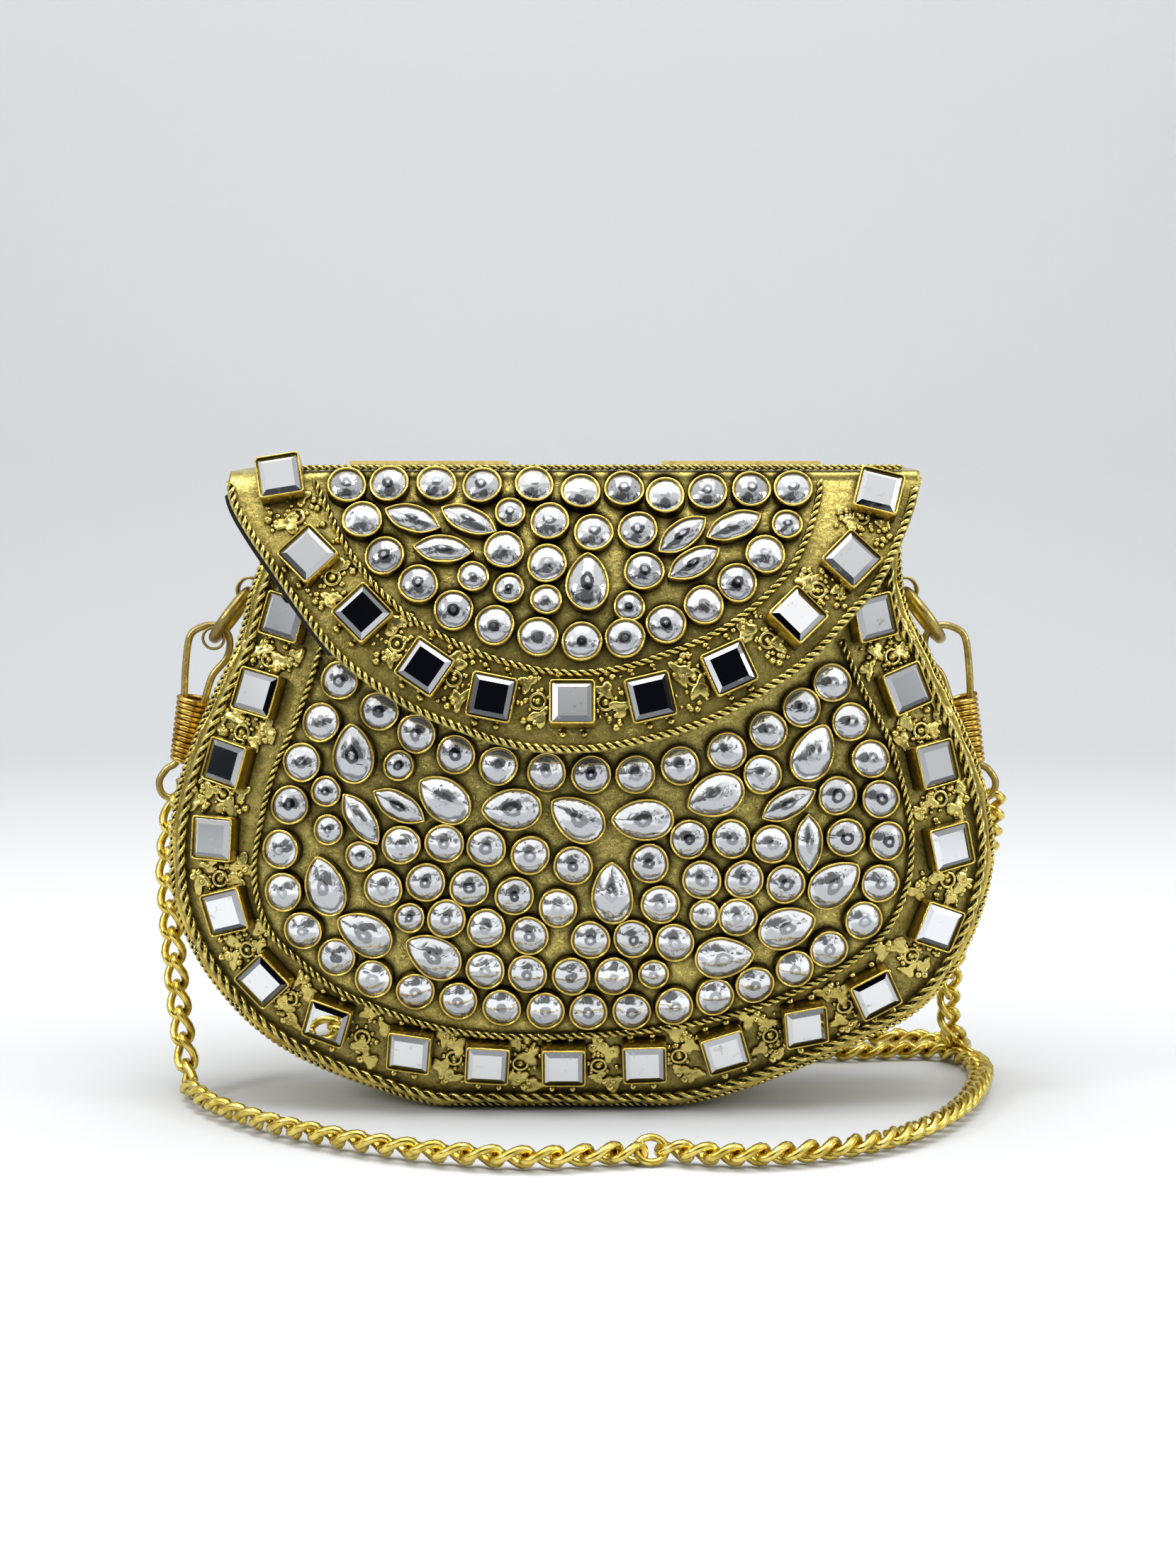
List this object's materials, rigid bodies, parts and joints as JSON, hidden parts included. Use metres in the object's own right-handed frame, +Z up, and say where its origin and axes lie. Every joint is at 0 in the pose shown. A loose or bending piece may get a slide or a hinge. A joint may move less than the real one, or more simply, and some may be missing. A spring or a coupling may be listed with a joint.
{
  "type": "kundan clutch bag",
  "caption": "Hard metal clutch bag with domed sides set with stones and mirrors, a hinged crescent flap and a chain strap.",
  "frame": {"origin": "on the ground, below the middle of the bag's box without its chain", "axes": "+Z up, the front with the flap faces -Y, +X to the right as the front is looked at"},
  "size_m": [0.2033, 0.1348, 0.1533],
  "materials": {
    "antique_brass": "hand-beaten and darkened in its hollows, with bare highlights",
    "bright_brass": "bright drawn wire",
    "chain_gold": "bright yellow gold plating on a brass curb chain",
    "mirror_glass": "silvered glass with a ground bevel",
    "steel": "plain, hidden in use",
    "velvet": "short-pile black velvet"
  },
  "bodies": {
    "bag": {"front_panel": "antique_brass", "back_panel": "antique_brass", "gusset_band": "antique_brass", "hinge_body_leaf_left": "antique_brass", "hinge_body_leaf_right": "antique_brass", "rope_front_outer": "antique_brass", "rope_front_edge": "antique_brass", "rope_front_inner": "antique_brass", "rope_back_outer": "antique_brass", "rope_back_edge": "antique_brass", "lug_left": "antique_brass", "lug_right": "antique_brass", "chain_left": "chain_gold", "chain_joining_link": "chain_gold", "chain_right": "chain_gold", "mirror_01": "mirror_glass", "mirror_02": "mirror_glass", "mirror_03": "mirror_glass", "mirror_04": "mirror_glass", "mirror_05": "mirror_glass", "mirror_06": "mirror_glass", "mirror_07": "mirror_glass", "mirror_08": "mirror_glass", "mirror_09": "mirror_glass", "mirror_10": "mirror_glass", "mirror_11": "mirror_glass", "mirror_12": "mirror_glass", "mirror_13": "mirror_glass", "mirror_14": "mirror_glass", "mirror_15": "mirror_glass", "mirror_16": "mirror_glass", "mirror_17": "mirror_glass", "mirror_18": "mirror_glass", "mirror_19": "mirror_glass", "hinge_pin_left": "steel", "hinge_pin_right": "steel", "magnet_body": "steel", "body_lining": "velvet"},
    "flap": {"flap_plate": "antique_brass", "flap_lining": "velvet", "hinge_flap_leaf_left": "antique_brass", "hinge_flap_leaf_right": "antique_brass", "rope_flap_edge": "antique_brass", "rope_flap_inner": "antique_brass", "rope_flap_top": "antique_brass", "magnet_flap": "steel"},
    "ring_left": {"ring_left": "antique_brass", "wire_tie_left": "antique_brass"},
    "ring_right": {"ring_right": "antique_brass"},
    "clip_left": {"clip_left": "antique_brass", "clip_sleeve_left": "bright_brass"},
    "clip_right": {"clip_right": "antique_brass", "clip_sleeve_right": "bright_brass"}
  },
  "joints": [
    {"name": "flap_hinge", "type": "hinge", "parent": "bag", "child": "flap", "pos_m": [0.0018, 0.0247, 0.1503], "axis": [-1, 0, 0], "range_deg": [0, 135]},
    {"name": "ring_left_swing", "type": "hinge", "parent": "bag", "child": "ring_left", "pos_m": [-0.07744, 0.0057, 0.1214], "axis": [0, 1, 0], "range_deg": [0, 45]},
    {"name": "ring_right_swing", "type": "hinge", "parent": "bag", "child": "ring_right", "pos_m": [0.07736, 0.0057, 0.1214], "axis": [0, -1, 0], "range_deg": [0, 45]},
    {"name": "clip_left_slide", "type": "slide", "parent": "bag", "child": "clip_left", "axis": [-0.507, 0, 0.862], "range_m": [0, 0.0109]},
    {"name": "clip_right_slide", "type": "slide", "parent": "bag", "child": "clip_right", "axis": [0.507, 0, 0.862], "range_m": [0, 0.0109]}
  ],
  "couplings": [
    {"joint": "clip_left_slide", "follows": "ring_left_swing", "m_per_rad": 0.01383},
    {"joint": "clip_right_slide", "follows": "ring_right_swing", "m_per_rad": 0.01383}
  ]
}
